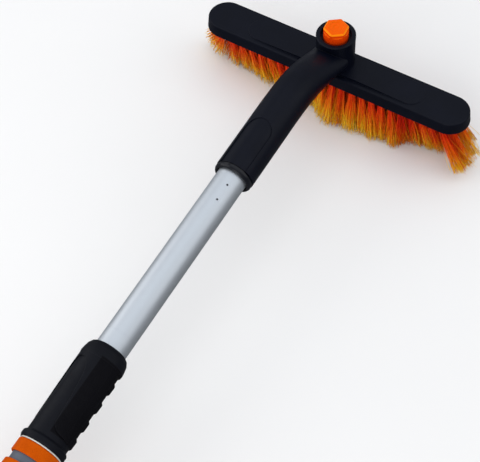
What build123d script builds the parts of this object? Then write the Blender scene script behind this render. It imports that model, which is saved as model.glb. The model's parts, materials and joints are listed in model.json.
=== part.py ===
from build123d import *
import math
import os

# Extendable snow brush with a swivelling brush head and an ice scraper.
# Millimetres. +X runs from the brush head down the handle to the scraper,
# +Y runs along the brush head, +Z is up and follows the swivel axis.
# Everything is first drawn about the pivot: the point where the swivel axis
# meets the brush head's top face. place() then moves it into the row frame,
# whose origin is the middle of the overall box, on the ground.

# ---------------------------------------------------------------- dimensions
# Brush head
HEAD_LENGTH = 282.0
HEAD_WIDTH = 37.0
HEAD_FLARE = 1.3
HEAD_HEIGHT = 12.0
HEAD_TOP_HEIGHT = 66.0
SHELL_WALL = 2.4
SHELL_TOP = 3.0
SHELL_EDGE = 1.2
PLATEAU_LENGTH = 190.0
PLATEAU_WIDTH = 28.0
PLATEAU_HIGH = 3.0
PLATEAU_LOW = 0.6
PLATEAU_FLAT = 40.0
BLOCK_GAP = 0.15
BLOCK_TOP = -3.2
BLOCK_POCKET_RADIUS = 15.0
BLOCK_POCKET_FLOOR = -8.4
SCREW_GAP = 0.1
COVER_SCREW_Y = [-105.0, -42.0, 42.0, 105.0]
COVER_SCREW_RADIUS = 1.5
COVER_SCREW_HEAD = (3.1, 2.0)
COVER_SCREW_TOP = -0.9
POST_SCREW_REACH = 11.5
POST_SCREW_RADIUS = 1.2
POST_SCREW_HEAD = (2.3, 1.6)
POST_SCREW_TOP = 1.5

# Bristles: rows across the head, each a slab that spreads towards its tips
ROW_X = [-12.6, -5.2, 5.2, 12.6]
ROW_TIP_X = [-22.0, -8.0, 8.0, 22.0]
ROW_ROOT_HALF_LENGTH = [124.0, 131.0, 131.0, 124.0]
ROW_TIP_HALF_LENGTH = 152.0
ROW_ROOT_THICKNESS = 4.2
ROW_TIP_THICKNESS = 10.0
TUFT_PITCH = 10.4
TUFT_HOLE_RADIUS = 2.0
TUFT_HOLE_DEPTH = 3.2

# Swivel hub
HUB_RADIUS = 18.75
HUB_BASE = PLATEAU_HIGH + 0.4
HUB_SHELF_TOP = 9.0
HUB_CAVITY_RADIUS = 15.9
HUB_BODY_TOP = 34.0
HUB_TOP = 37.5
HUB_MOUTH_RADIUS = 14.3
HUB_SPIGOT_LOW = 31.0
KEY_COUNT = 4
KEYWAY_RADIUS = 17.0
KEYWAY_WIDTH = 3.4
KEYWAY_LOW = 12.5
KEY_RADIUS = 16.75
KEY_GAP = 0.3
COLLAR_LIP_TOP = 33.2
COLLAR_CHAMFER = 0.7

# Post that the hub turns on
POST_RADIUS = 8.5
POST_TOP = 21.4
POST_STUB_RADIUS = 6.0
POST_STUB_TOP = 27.0
POST_FLANGE_RADIUS = 14.4
POST_FLANGE_THICKNESS = 2.6
RUNNING_FIT = 0.06
CLIP_LOW = 10.3
CLIP_THICKNESS = 1.0
CLIP_OUTER_RADIUS = 12.0
CLIP_GROOVE_RADIUS = 7.6
CLIP_OPENING = 70.0
THRUST_WASHER_RADIUS = 12.8
PIVOT_SCREW_RADIUS = 2.4
PIVOT_SCREW_LOW = 6.0
PIVOT_SCREW_HOLE_LOW = 3.0
PIVOT_SCREW_FLANGE = (8.4, 1.2)
PIVOT_SCREW_HEXAGON = (4.6, 3.2)

# Push button and its lock
BUTTON_RADIUS = 11.9
BUTTON_TOP = 47.0
BUTTON_TRAVEL = 7.0
BUTTON_CLEARANCE = 0.3
BUTTON_FLANGE_RADIUS = 15.55
BUTTON_FLANGE_LOW = 28.0
BUTTON_FLANGE_HIGH = 30.9
BUTTON_CEILING = 42.4
BUTTON_CAVITY_RADIUS = 11.0
HEX_ACROSS_FLATS = 21.6
HEX_TURN = 6.0
HEX_DEPTH = 4.0
HEX_BEVEL = 1.3
HEX_RECESS = (7.2, 0.35)
DIMPLE = (3.1, 0.7)
LOCK_TEETH = 18
LOCK_TOOTH_WIDTH = 1.7
LOCK_SLEEVE_LOW = 20.2
LOCK_TOOTH_TIP = 11.1
LOCK_TOOTH_ROOT = 12.1
LOCK_RING_TIP = 10.64
LOCK_RING_ROOT = 9.7
LOCK_RING_TOP = 27.6
SPRING_MEAN_RADIUS = 9.8
SPRING_WIRE_RADIUS = 0.65
SPRING_TURNS = 4.5

# Handle line: the tube axis falls away from the head by a small angle
DECLINE = 4.35
AXIS_HEIGHT_AT_PIVOT = 41.8
TUBE_RADIUS = 14.0
TUBE_WALL = 1.0
TUBE_START = 112.0
TUBE_END = 500.0
TUBE_HOLES = [200.2, 216.9]
TUBE_HOLE_ANGLE = 22.0
TUBE_HOLE_RADIUS = 0.95
MARK_POSITION = 362.0
MARK_DEPTH = 0.15
MARK_WIDTH = 0.5

# Arm: hub end, then a gooseneck that becomes the round sleeve
ARM_RADIUS = 18.6
ARM_WALL = 3.2
ARM_SECTIONS = [
    # x, z of the centre, height, slope of the line there in degrees
    (9.0, 14.6, 21.0, 14.0),
    (38.0, 24.8, 28.6, 20.0),
    (62.0, 31.8, 35.0, 10.0),
    (88.0, 34.3, 37.0, 1.0),
]
ARM_ROUND_FROM = 108.0
SLEEVE_END = 181.5
SLEEVE_BORE_FROM = 106.0
PANEL_FROM = 128.0
PANEL_HALF_ANGLE = 43.0
PANEL_DEPTH = 0.8
BEAD_LENGTH = 5.6
SLEEVE_SCREWS = [134.0, 164.0]

# Front grip: it turns with the outer tube, so its top is off the tool's top
GRIP_START = 376.6
GRIP_END = 473.2
GRIP_TURN = -36.0
GRIP_CORE_RADIUS = 18.6
GRIP_WAIST_RADIUS = 18.4
GRIP_FLANGE_RADIUS = 20.5
PAD_RADIUS = 19.8
PAD_ROOT_RADIUS = 17.7
PAD_FROM = 388.5
PAD_TO = 461.0
THUMB_RECESS = [(394.8, 0.0), (398.4, 7.7), (410.0, 11.8), (430.0, 13.6), (452.0, 14.9)]
THUMB_RECESS_CORNER = (458.3, 17.6)
THUMB_RECESS_REACH = 24.0
FINGER_BLOCKS = [403.2, 421.3, 439.5, 456.8]
FINGER_BLOCK_LENGTH = 9.0
FINGER_BLOCK_RADIUS = 20.2
FINGER_HALF_ANGLE = 65.0
FINGERS_FROM = 391.0
PARTING_LINE_WIDTH = 0.25
PARTING_LINE_DEPTH = 0.12

# Outer tube, foam and what is inside it
OUTER_TUBE_RADIUS = 17.1
OUTER_TUBE_BORE = 15.3
OUTER_TUBE_START = 379.0
OUTER_TUBE_END = 704.0
FOAM_RADIUS = 19.5
FOAM_EDGE = 0.8
FOAM_FRONT_BAND = (474.5, 486.4)
FOAM_LONG = (493.4, 658.4)
FOAM_REAR_BAND = (665.4, 676.9)
TRIM_WASHER = (473.3, 474.4)
TRIM_WASHER_RADIUS = 18.8
GUIDE_BUSH_END = 402.0
STOP_RING = (486.0, 495.8)
PLUG_START = 478.0
PLUG_FLANGE = (500.0, 503.0)
PLUG_FLANGE_RADIUS = 14.9
SPINDLE_RADIUS = 4.0
SPINDLE_END = 546.0
COLLET = (506.0, 534.0)
COLLET_RADIUS = 15.24
COLLET_SLOTS = 3
CONE = (512.0, 540.0)
CONE_SMALL_RADIUS = 8.0
CONE_LARGE_RADIUS = 13.0

# Scraper
SOCKET_START = 677.4
SCRAPER_ROOT = 735.0
SCRAPER_LENGTH = 112.0
SCRAPER_EDGE_HALF_WIDTH = 52.5
SCRAPER_ROOT_HALF_WIDTH = 24.0
SCRAPER_THICKNESS = 4.0
SCRAPER_TAIL = 24.0
SCRAPER_TAIL_HALF_WIDTH = 14.0
SCRAPER_BEVEL = 15.0
SCRAPER_EDGE_THICKNESS = 0.5
SCRAPER_RIBS = 5
HANG_HOLE_RADIUS = 5.0
HANG_HOLE_X = 26.0

# ------------------------------------------------------------ working frames
slope = math.radians(DECLINE)
tube_line = Pos(0, 0, AXIS_HEIGHT_AT_PIVOT) * Rot(0, 90 + DECLINE, 0)

# The scraper's lower face starts on the tube axis and falls to the ground.
scraper_x = SCRAPER_ROOT * math.cos(slope)
scraper_z = AXIS_HEIGHT_AT_PIVOT - SCRAPER_ROOT * math.sin(slope)
scraper_drop = math.asin((HEAD_TOP_HEIGHT + scraper_z) / SCRAPER_LENGTH)
blade_plane = Plane(
    origin=(scraper_x, 0, scraper_z),
    x_dir=(math.cos(scraper_drop), 0, -math.sin(scraper_drop)),
    z_dir=(math.sin(scraper_drop), 0, math.cos(scraper_drop)),
)

lowest_x = ROW_TIP_X[0] - ROW_TIP_THICKNESS / 2
highest_x = scraper_x + SCRAPER_LENGTH * math.cos(scraper_drop)
place = Pos(-(lowest_x + highest_x) / 2, 0, HEAD_TOP_HEIGHT)


# ------------------------------------------------------------------- helpers
def disc(radius, low, high):
    """A round bar on Z between two heights."""
    return Pos(0, 0, (low + high) / 2) * Cylinder(radius, high - low)


def ring(outer, inner, low, high):
    """A plain ring on Z between two heights."""
    return disc(outer, low, high) - disc(inner, low, high)


def turned(*profile):
    """A solid of revolution about Z from (radius, height) points."""
    face = make_face(Polyline(*profile, close=True))
    return revolve(Plane.XZ * face, Axis.Z)


def spread(count, shape):
    """Copies of one shape evenly round Z."""
    return [Rot(0, 0, 360 * turn / count) * shape for turn in range(count)]


def sector(radius, half_angle, low, high):
    """A wedge of a disc that is centred on -X, the top of the tube line."""
    reach = radius / math.cos(math.radians(min(half_angle, 60)))
    steps = [half_angle * step / 4 for step in range(-4, 5)]
    rim = [
        (-reach * math.cos(math.radians(angle)), reach * math.sin(math.radians(angle)))
        for angle in steps
    ]
    outline = make_face(Polyline((0, 0), *rim, close=True))
    return Pos(0, 0, low) * extrude(outline, high - low)


def stadium(length, width, height):
    """A stadium outline along Y at one height."""
    return Pos(0, 0, height) * Rot(0, 0, 90) * SlotOverall(length, width)


def screw(head_radius, head_height, shank_radius, length):
    """A pan head screw with its head above Z=0 and its shank below."""
    head = fillet(disc(head_radius, 0, head_height).edges().sort_by(Axis.Z)[-1], head_height * 0.6)
    cross = Box(head_radius * 1.1, 0.8, 0.8) + Box(0.8, head_radius * 1.1, 0.8)
    return head - Pos(0, 0, head_height - 0.4) * cross + disc(shank_radius, -length, 0)


# ---------------------------------------------------------------- brush head
def make_head_shell():
    """Moulded cover: a stadium bar, open below, with a ridged plateau."""
    flare = 2 * HEAD_FLARE
    body = loft([
        stadium(HEAD_LENGTH + flare, HEAD_WIDTH + flare, -HEAD_HEIGHT),
        stadium(HEAD_LENGTH, HEAD_WIDTH, 0),
    ])
    body = fillet(body.faces().sort_by(Axis.Z)[-1].edges(), SHELL_EDGE)
    inside = 2 * SHELL_WALL
    body -= loft([
        stadium(HEAD_LENGTH + flare - inside, HEAD_WIDTH + flare - inside, -HEAD_HEIGHT),
        stadium(HEAD_LENGTH - inside, HEAD_WIDTH - inside, -SHELL_TOP),
    ])
    plateau = extrude(stadium(PLATEAU_LENGTH, PLATEAU_WIDTH, -1), 1 + PLATEAU_HIGH)
    half = PLATEAU_LENGTH / 2
    ridge = make_face(Polyline(
        (-half, -1), (half, -1), (half, PLATEAU_LOW), (PLATEAU_FLAT / 2, PLATEAU_HIGH),
        (-PLATEAU_FLAT / 2, PLATEAU_HIGH), (-half, PLATEAU_LOW), close=True,
    ))
    body += plateau & extrude(Plane.YZ * ridge, PLATEAU_WIDTH, both=True)
    body -= disc(POST_RADIUS + 0.1, -HEAD_HEIGHT, PLATEAU_HIGH + 1)
    for x, y in post_screw_places():
        body -= Pos(x, y, 0) * disc(
            POST_SCREW_RADIUS + SCREW_GAP / 2, -SHELL_TOP, POST_SCREW_TOP + SCREW_GAP)
    for y in COVER_SCREW_Y:
        body -= Pos(0, y, 0) * disc(
            COVER_SCREW_RADIUS + SCREW_GAP, -SHELL_TOP, COVER_SCREW_TOP + SCREW_GAP)
    return body


def post_screw_places():
    """Four screws through the post's flange."""
    angles = [math.radians(angle) for angle in (45, 135, 225, 315)]
    return [
        (POST_SCREW_REACH * math.cos(angle), POST_SCREW_REACH * math.sin(angle))
        for angle in angles
    ]


def tuft_places(row):
    """Tuft centres along one row."""
    half = ROW_ROOT_HALF_LENGTH[row] - 3
    count = int(2 * half / TUFT_PITCH) + 1
    start = -(count - 1) * TUFT_PITCH / 2
    return [start + index * TUFT_PITCH for index in range(count)]


def make_bristle_block():
    """Base plate that carries the tufts and closes the cover from below."""
    narrower = 2 * (SHELL_WALL + BLOCK_GAP)
    flare = 2 * HEAD_FLARE
    block = loft([
        stadium(HEAD_LENGTH + flare - narrower, HEAD_WIDTH + flare - narrower, -HEAD_HEIGHT),
        stadium(HEAD_LENGTH - narrower, HEAD_WIDTH - narrower, BLOCK_TOP),
    ])
    block -= disc(BLOCK_POCKET_RADIUS, BLOCK_POCKET_FLOOR, 0)
    head_radius, head_height = COVER_SCREW_HEAD
    for y in COVER_SCREW_Y:
        block -= Pos(0, y, 0) * disc(COVER_SCREW_RADIUS + SCREW_GAP, -HEAD_HEIGHT, 0)
        block -= Pos(0, y, 0) * disc(
            head_radius + SCREW_GAP, -HEAD_HEIGHT, -HEAD_HEIGHT + head_height)
    holes = [
        Pos(x, y, 0) * disc(TUFT_HOLE_RADIUS, -HEAD_HEIGHT, -HEAD_HEIGHT + TUFT_HOLE_DEPTH)
        for row, x in enumerate(ROW_X)
        for y in tuft_places(row)
    ]
    return block - Compound(children=[Part() + hole for hole in holes])


def make_bristle_row(row):
    """One row of bristles as a slab that fans out and leans to its tips."""
    root = Pos(ROW_X[row], 0, -HEAD_HEIGHT) * Rectangle(
        ROW_ROOT_THICKNESS, 2 * ROW_ROOT_HALF_LENGTH[row])
    tips = Pos(ROW_TIP_X[row], 0, -HEAD_TOP_HEIGHT) * Rectangle(
        ROW_TIP_THICKNESS, 2 * ROW_TIP_HALF_LENGTH)
    return loft([root, tips])


def make_cover_screws():
    """Screws that hold the bristle block up into the cover."""
    head_radius, head_height = COVER_SCREW_HEAD
    one = disc(head_radius, -HEAD_HEIGHT, -HEAD_HEIGHT + head_height)
    one += disc(COVER_SCREW_RADIUS, -HEAD_HEIGHT, COVER_SCREW_TOP)
    return [Pos(0, y, 0) * one for y in COVER_SCREW_Y]


def make_pivot_post():
    """Spindle under the cover's top that the hub turns on."""
    flange_low = -SHELL_TOP - POST_FLANGE_THICKNESS
    post = disc(POST_FLANGE_RADIUS, flange_low, -SHELL_TOP)
    post += disc(POST_RADIUS, flange_low, POST_TOP)
    post += disc(POST_STUB_RADIUS, POST_TOP, POST_STUB_TOP)
    post -= disc(PIVOT_SCREW_RADIUS + SCREW_GAP, PIVOT_SCREW_HOLE_LOW, POST_STUB_TOP)
    post -= ring(POST_RADIUS + 1, CLIP_GROOVE_RADIUS, CLIP_LOW, CLIP_LOW + CLIP_THICKNESS)
    for x, y in post_screw_places():
        post -= Pos(x, y, 0) * disc(POST_SCREW_RADIUS + SCREW_GAP, flange_low, -SHELL_TOP)
    return post


def make_post_screws():
    """Small screws up through the flange into the cover."""
    flange_low = -SHELL_TOP - POST_FLANGE_THICKNESS
    head_radius, head_height = POST_SCREW_HEAD
    one = disc(head_radius, flange_low - head_height, flange_low)
    one += disc(POST_SCREW_RADIUS, flange_low, POST_SCREW_TOP)
    return [Pos(x, y, 0) * one for x, y in post_screw_places()]


def make_thrust_washer():
    """Slippery washer between the hub's shelf and the clip."""
    return ring(THRUST_WASHER_RADIUS, POST_RADIUS + 0.1, HUB_SHELF_TOP + 0.1, CLIP_LOW)


def make_retaining_clip():
    """Open spring clip in the post's groove; it holds the hub down."""
    clip = ring(CLIP_OUTER_RADIUS, CLIP_GROOVE_RADIUS, CLIP_LOW, CLIP_LOW + CLIP_THICKNESS)
    return clip - sector(20, CLIP_OPENING / 2, CLIP_LOW - 1, CLIP_LOW + CLIP_THICKNESS + 1)


def make_lock_ring():
    """Toothed ring on the post's stub, which the lock sleeve grips."""
    body = ring(LOCK_RING_ROOT, POST_STUB_RADIUS + 0.05, POST_TOP, LOCK_RING_TOP)
    depth = LOCK_RING_TIP - LOCK_RING_ROOT + 0.5
    tooth = Pos(LOCK_RING_TIP - depth / 2, 0, (POST_TOP + LOCK_RING_TOP) / 2) * Box(
        depth, LOCK_TOOTH_WIDTH, LOCK_RING_TOP - POST_TOP)
    return body + spread(LOCK_TEETH, tooth)


def make_pivot_screw():
    """Flanged screw down the post; it holds the lock ring."""
    flange_radius, flange_height = PIVOT_SCREW_FLANGE
    hexagon_radius, hexagon_height = PIVOT_SCREW_HEXAGON
    flange_top = LOCK_RING_TOP + flange_height
    head = disc(flange_radius, LOCK_RING_TOP, flange_top)
    head += extrude(Pos(0, 0, flange_top) * RegularPolygon(hexagon_radius, 6), hexagon_height)
    return head + disc(PIVOT_SCREW_RADIUS, PIVOT_SCREW_LOW, LOCK_RING_TOP)


# ------------------------------------------------------------ button and lock
def make_push_button():
    """Round cap with a bevelled hexagonal top, a recess and a retaining flange."""
    low = BUTTON_TOP - HEX_DEPTH
    cap = disc(BUTTON_RADIUS, BUTTON_FLANGE_LOW, low)
    plan = RegularPolygon(HEX_ACROSS_FLATS / 2, 6, major_radius=False)
    hexagon = extrude(Pos(0, 0, low) * plan, HEX_DEPTH)
    hexagon = chamfer(hexagon.faces().sort_by(Axis.Z)[-1].edges(), HEX_BEVEL)
    recess_radius, recess_depth = HEX_RECESS
    hexagon -= extrude(Pos(0, 0, BUTTON_TOP - recess_depth) * RegularPolygon(recess_radius, 6), 1)
    cap += Rot(0, 0, HEX_TURN) * (hexagon & disc(BUTTON_RADIUS, low, BUTTON_TOP))
    dimple_radius, dimple_depth = DIMPLE
    cap -= disc(dimple_radius, BUTTON_TOP - dimple_depth, BUTTON_TOP)
    cap += disc(BUTTON_FLANGE_RADIUS, BUTTON_FLANGE_LOW, BUTTON_FLANGE_HIGH)
    return cap - disc(BUTTON_CAVITY_RADIUS, BUTTON_FLANGE_LOW, BUTTON_CEILING)


def make_lock_sleeve():
    """Ring under the button: keys outside, lock teeth inside."""
    height = BUTTON_FLANGE_LOW - LOCK_SLEEVE_LOW
    middle = (BUTTON_FLANGE_LOW + LOCK_SLEEVE_LOW) / 2
    sleeve = ring(BUTTON_FLANGE_RADIUS, LOCK_TOOTH_ROOT, LOCK_SLEEVE_LOW, BUTTON_FLANGE_LOW)
    key_root = BUTTON_FLANGE_RADIUS - 0.5
    key = Pos((key_root + KEY_RADIUS) / 2, 0, middle) * Box(
        KEY_RADIUS - key_root, KEYWAY_WIDTH - 2 * KEY_GAP, height)
    tooth_root = LOCK_TOOTH_ROOT + 0.4
    tooth = Pos((LOCK_TOOTH_TIP + tooth_root) / 2, 0, middle) * Box(
        tooth_root - LOCK_TOOTH_TIP, LOCK_TOOTH_WIDTH, height)
    half_pitch = Rot(0, 0, 180 / LOCK_TEETH)
    quarter = Rot(0, 0, 45)
    return (
        sleeve
        + spread(LOCK_TEETH, half_pitch * tooth)
        + spread(KEY_COUNT, quarter * key)
    )


def make_button_spring():
    """Compression spring between the lock ring and the button."""
    low = LOCK_RING_TOP + SPRING_WIRE_RADIUS + 0.05
    high = BUTTON_CEILING - SPRING_WIRE_RADIUS - 0.05
    pitch = (high - low) / SPRING_TURNS
    path = Pos(0, 0, low) * Helix(pitch, high - low, SPRING_MEAN_RADIUS)
    section = Plane(origin=path @ 0, z_dir=path % 0) * Circle(SPRING_WIRE_RADIUS)
    return sweep(section, path=path)


# ----------------------------------------------------------------------- arm
def arm_section(x, z, width, height, tilt):
    """A rounded arm section that stands across the arm's line."""
    angle = math.radians(tilt)
    across = Plane(
        origin=(x, 0, z), x_dir=(0, 1, 0), z_dir=(math.cos(angle), 0, math.sin(angle)))
    return across * Ellipse(width / 2, height / 2)


def arm_loft(inset, first):
    """The gooseneck, drawn smaller by inset all round."""
    width = 2 * (ARM_RADIUS - inset)
    sections = []
    for x, z, height, tilt in ARM_SECTIONS[first:]:
        sections.append(arm_section(x, z, width, height - 2 * inset, tilt))
    end_x = ARM_ROUND_FROM * math.cos(slope)
    end_z = AXIS_HEIGHT_AT_PIVOT - ARM_ROUND_FROM * math.sin(slope)
    sections.append(arm_section(end_x, end_z, width, width, -DECLINE))
    return loft(sections)


def make_neck_arm():
    """Hub, gooseneck and tube sleeve in one moulding."""
    arm = disc(HUB_RADIUS, HUB_BASE, HUB_BODY_TOP)
    arm += arm_loft(0, 0)
    arm += tube_line * disc(ARM_RADIUS, ARM_ROUND_FROM, SLEEVE_END)
    arm -= arm_loft(ARM_WALL, 1)
    arm -= tube_line * disc(TUBE_RADIUS + 0.05, SLEEVE_BORE_FROM, SLEEVE_END)
    arm -= disc(HUB_CAVITY_RADIUS, HUB_SHELF_TOP, HUB_BODY_TOP + 20)
    arm -= disc(POST_RADIUS + RUNNING_FIT, 0, HUB_SHELF_TOP)
    keyway = Pos(KEYWAY_RADIUS - 1, 0, (KEYWAY_LOW + HUB_SPIGOT_LOW) / 2) * Box(
        2, KEYWAY_WIDTH, HUB_SPIGOT_LOW - KEYWAY_LOW)
    arm -= spread(KEY_COUNT, Rot(0, 0, 45) * keyway)
    half_width = ARM_RADIUS * math.sin(math.radians(PANEL_HALF_ANGLE))
    outline = Plane(origin=(-ARM_RADIUS - 1, 0, PANEL_FROM + 60), x_dir=(0, 0, 1), z_dir=(-1, 0, 0))
    panel = extrude(outline * SlotOverall(120, 2 * half_width), -12)
    panel &= ring(ARM_RADIUS + 1, ARM_RADIUS - PANEL_DEPTH, PANEL_FROM - 5, SLEEVE_END)
    arm -= tube_line * panel
    for position in SLEEVE_SCREWS:
        arm -= tube_line * Pos(0, 0, position) * Rot(0, 90, 0) * disc(1.7, 10, 25)
    return arm


def make_collar_ring():
    """Ring pressed into the hub's top; its inner lip keeps the button in."""
    rim = ring(HUB_RADIUS + 0.15, HUB_MOUTH_RADIUS, HUB_BODY_TOP, HUB_TOP)
    rim = chamfer(rim.faces().sort_by(Axis.Z)[-1].edges(), COLLAR_CHAMFER)
    spigot_radius = HUB_CAVITY_RADIUS - 0.05
    guide = BUTTON_RADIUS + BUTTON_CLEARANCE
    spigot = ring(spigot_radius, HUB_MOUTH_RADIUS, HUB_SPIGOT_LOW, HUB_BODY_TOP + 0.8)
    return rim + spigot + ring(spigot_radius, guide, HUB_SPIGOT_LOW, COLLAR_LIP_TOP)


def make_sleeve_bead():
    """Rounded ring that closes the sleeve's end round the tube."""
    start = SLEEVE_END + 0.1
    end = start + BEAD_LENGTH
    profile = turned(
        (TUBE_RADIUS + 0.1, start), (17.2, start), (17.2, start + 0.8), (18.2, start + 1.2),
        (18.2, end - 2.2), (17.4, end - 0.6), (16.6, end), (15.8, end), (15.4, end - 2.4),
        (TUBE_RADIUS + 0.1, end - 2.4),
    )
    return tube_line * profile


def make_sleeve_screws():
    """Screws up through the sleeve's underside into the tube."""
    one = screw(3.2, 1.8, 1.6, 6)
    under = Rot(0, 90, 0)
    return [
        tube_line * Pos(ARM_RADIUS + 0.05, 0, position) * under * one
        for position in SLEEVE_SCREWS
    ]


def make_inner_tube():
    """Sliding aluminium tube with two small holes and a scribed mark."""
    tube = ring(TUBE_RADIUS, TUBE_RADIUS - TUBE_WALL, TUBE_START, TUBE_END)
    for position in TUBE_HOLES:
        drill = Pos(0, 0, position) * Rot(0, -90, 0) * disc(TUBE_HOLE_RADIUS, 8, 20)
        tube -= Rot(0, 0, -TUBE_HOLE_ANGLE) * drill
    for position in SLEEVE_SCREWS:
        tube -= Pos(0, 0, position) * Rot(0, 90, 0) * disc(1.7, 8, 20)
    groove_low = MARK_POSITION - MARK_WIDTH / 2
    tube -= ring(TUBE_RADIUS + 1, TUBE_RADIUS - MARK_DEPTH, groove_low, groove_low + MARK_WIDTH)
    return tube_line * tube


# ----------------------------------------------------- telescopic lock inside
def make_lock_plug():
    """Plug pressed into the inner tube's end; its flange meets the stop."""
    plug = disc(TUBE_RADIUS - TUBE_WALL, PLUG_START, PLUG_FLANGE[0])
    plug += disc(PLUG_FLANGE_RADIUS, *PLUG_FLANGE)
    return tube_line * (plug - disc(SPINDLE_RADIUS, PLUG_START, PLUG_FLANGE[1]))


def make_lock_spindle():
    """Threaded spindle that draws the cone; smooth here."""
    spindle = disc(SPINDLE_RADIUS, PLUG_START, SPINDLE_END)
    return tube_line * (spindle + disc(SPINDLE_RADIUS + 2.5, SPINDLE_END, SPINDLE_END + 2))


def make_lock_collet():
    """Slotted collet that is spread against the outer tube."""
    low, high = COLLET
    bore_low = cone_radius(low + 6) + 0.4
    collet = turned(
        (SPINDLE_RADIUS + 0.3, low), (COLLET_RADIUS, low), (COLLET_RADIUS, high),
        (cone_radius(high) + 0.4, high), (bore_low, low + 6), (bore_low, low + 4),
        (SPINDLE_RADIUS + 0.3, low + 4),
    )
    slot = Pos(COLLET_RADIUS, 0, (low + 8 + high) / 2) * Box(2 * COLLET_RADIUS, 2, high - low - 8)
    return tube_line * (collet - spread(COLLET_SLOTS, slot))


def cone_radius(position):
    """Radius of the lock cone at a place along the tube line."""
    share = (position - CONE[0]) / (CONE[1] - CONE[0])
    return CONE_SMALL_RADIUS + share * (CONE_LARGE_RADIUS - CONE_SMALL_RADIUS)


def make_lock_cone():
    """Conical nut on the spindle."""
    low, high = CONE
    cone = turned(
        (SPINDLE_RADIUS + RUNNING_FIT, low), (CONE_SMALL_RADIUS, low),
        (CONE_LARGE_RADIUS, high), (SPINDLE_RADIUS + RUNNING_FIT, high),
    )
    return tube_line * cone


# -------------------------------------------------------------------- handle
def make_outer_tube():
    """Grey handle tube that the inner tube slides into."""
    return tube_line * ring(OUTER_TUBE_RADIUS, OUTER_TUBE_BORE, OUTER_TUBE_START, OUTER_TUBE_END)


def make_guide_bush():
    """Bush in the outer tube's mouth."""
    bore = TUBE_RADIUS + RUNNING_FIT
    bush = ring(OUTER_TUBE_BORE, bore, OUTER_TUBE_START, GUIDE_BUSH_END)
    return tube_line * (bush + ring(OUTER_TUBE_RADIUS, bore, OUTER_TUBE_START - 1.2, OUTER_TUBE_START))


def make_stop_ring():
    """Ring fixed in the outer tube; it limits the extension."""
    return tube_line * ring(OUTER_TUBE_BORE, TUBE_RADIUS + RUNNING_FIT, *STOP_RING)


def thumb_recess():
    """Plan of the thumb recess, which widens and opens into the waist."""
    last, half_width = THUMB_RECESS[-1]
    middle, corner_width = THUMB_RECESS_CORNER
    reach = THUMB_RECESS_REACH
    edges = []
    for side in (1, -1):
        flank = Spline(
            *[(position, side * width) for position, width in THUMB_RECESS],
            tangents=((0, side), (1, side * 0.05)))
        corner = ThreePointArc(
            (last, side * half_width), (middle, side * corner_width), (PAD_TO, side * reach))
        edges += [*flank.edges(), *corner.edges()]
    mouth = Polyline(
        (PAD_TO, reach), (PAD_TO + 5, reach), (PAD_TO + 5, -reach), (PAD_TO, -reach))
    return make_face(Wire([*edges, *mouth.edges()]))


def finger_block(position):
    """One raised block round the grip's underside."""
    low = position - FINGER_BLOCK_LENGTH / 2
    high = position + FINGER_BLOCK_LENGTH / 2
    radius = FINGER_BLOCK_RADIUS
    block = turned(
        (PAD_ROOT_RADIUS, low), (radius - 0.7, low), (radius, low + 0.9),
        (radius - 0.2, high - 1.1), (radius - 1.0, high), (PAD_ROOT_RADIUS, high),
    )
    return block & sector(30, FINGER_HALF_ANGLE + 1.5, low, high)


def make_front_grip():
    """Black grip: a thumb recess on top, pads each side, finger blocks underneath."""
    start = GRIP_START
    bore = OUTER_TUBE_RADIUS
    core = turned(
        (14.7, start), (15.6, start), (17.3, start + 1.5), (18.9, start + 4.3),
        (19.8, start + 8.5), (20.2, start + 12.2), (20.0, FINGERS_FROM - 0.6),
        (GRIP_CORE_RADIUS, FINGERS_FROM + 0.6), (GRIP_CORE_RADIUS, 452.0),
        (GRIP_WAIST_RADIUS, 465.6), (19.4, 466.6), (GRIP_FLANGE_RADIUS, 468.0),
        (GRIP_FLANGE_RADIUS, 471.4), (19.6, GRIP_END), (bore, GRIP_END),
        (bore, start + 1.1), (14.7, start + 1.1),
    )
    pads = turned(
        (PAD_ROOT_RADIUS, PAD_FROM), (PAD_RADIUS, PAD_FROM), (PAD_RADIUS, PAD_TO - 0.8),
        (PAD_RADIUS - 0.6, PAD_TO), (PAD_ROOT_RADIUS, PAD_TO),
    )
    plan = Plane(origin=(-THUMB_RECESS_REACH, 0, 0), x_dir=(0, 0, 1), z_dir=(-1, 0, 0))
    pads -= extrude(plan * thumb_recess(), -THUMB_RECESS_REACH)
    under = Rot(0, 0, 180)
    pads -= under * sector(30, FINGER_HALF_ANGLE, FINGERS_FROM, PAD_TO + 1)
    grip = core + pads + [under * finger_block(position) for position in FINGER_BLOCKS]
    line_middle = (PAD_FROM + PAD_TO) / 2
    line = Box(PARTING_LINE_WIDTH, 2 * PARTING_LINE_DEPTH, PAD_TO - PAD_FROM - 4)
    for side in (1, -1):
        grip -= Pos(0, side * PAD_RADIUS, line_middle) * line
    return tube_line * Rot(0, 0, -GRIP_TURN) * grip


def make_trim_washer():
    """Pale washer between the grip's flange and the foam."""
    return tube_line * ring(TRIM_WASHER_RADIUS, OUTER_TUBE_RADIUS, *TRIM_WASHER)


def make_foam(span):
    """A foam sleeve with soft edges."""
    low, high = span
    foam = turned(
        (OUTER_TUBE_RADIUS, low), (FOAM_RADIUS - FOAM_EDGE, low), (FOAM_RADIUS, low + FOAM_EDGE),
        (FOAM_RADIUS, high - FOAM_EDGE), (FOAM_RADIUS - FOAM_EDGE, high), (OUTER_TUBE_RADIUS, high),
    )
    return tube_line * foam


# ------------------------------------------------------------------- scraper
def socket_section(position, width, height):
    """A rounded socket section across the tube line."""
    across = Plane(
        origin=(position * math.cos(slope), 0, AXIS_HEIGHT_AT_PIVOT - position * math.sin(slope)),
        x_dir=(0, 1, 0), z_dir=(math.cos(slope), 0, -math.sin(slope)))
    return across * RectangleRounded(width, height, min(width, height) / 2 - 0.05)


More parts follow.
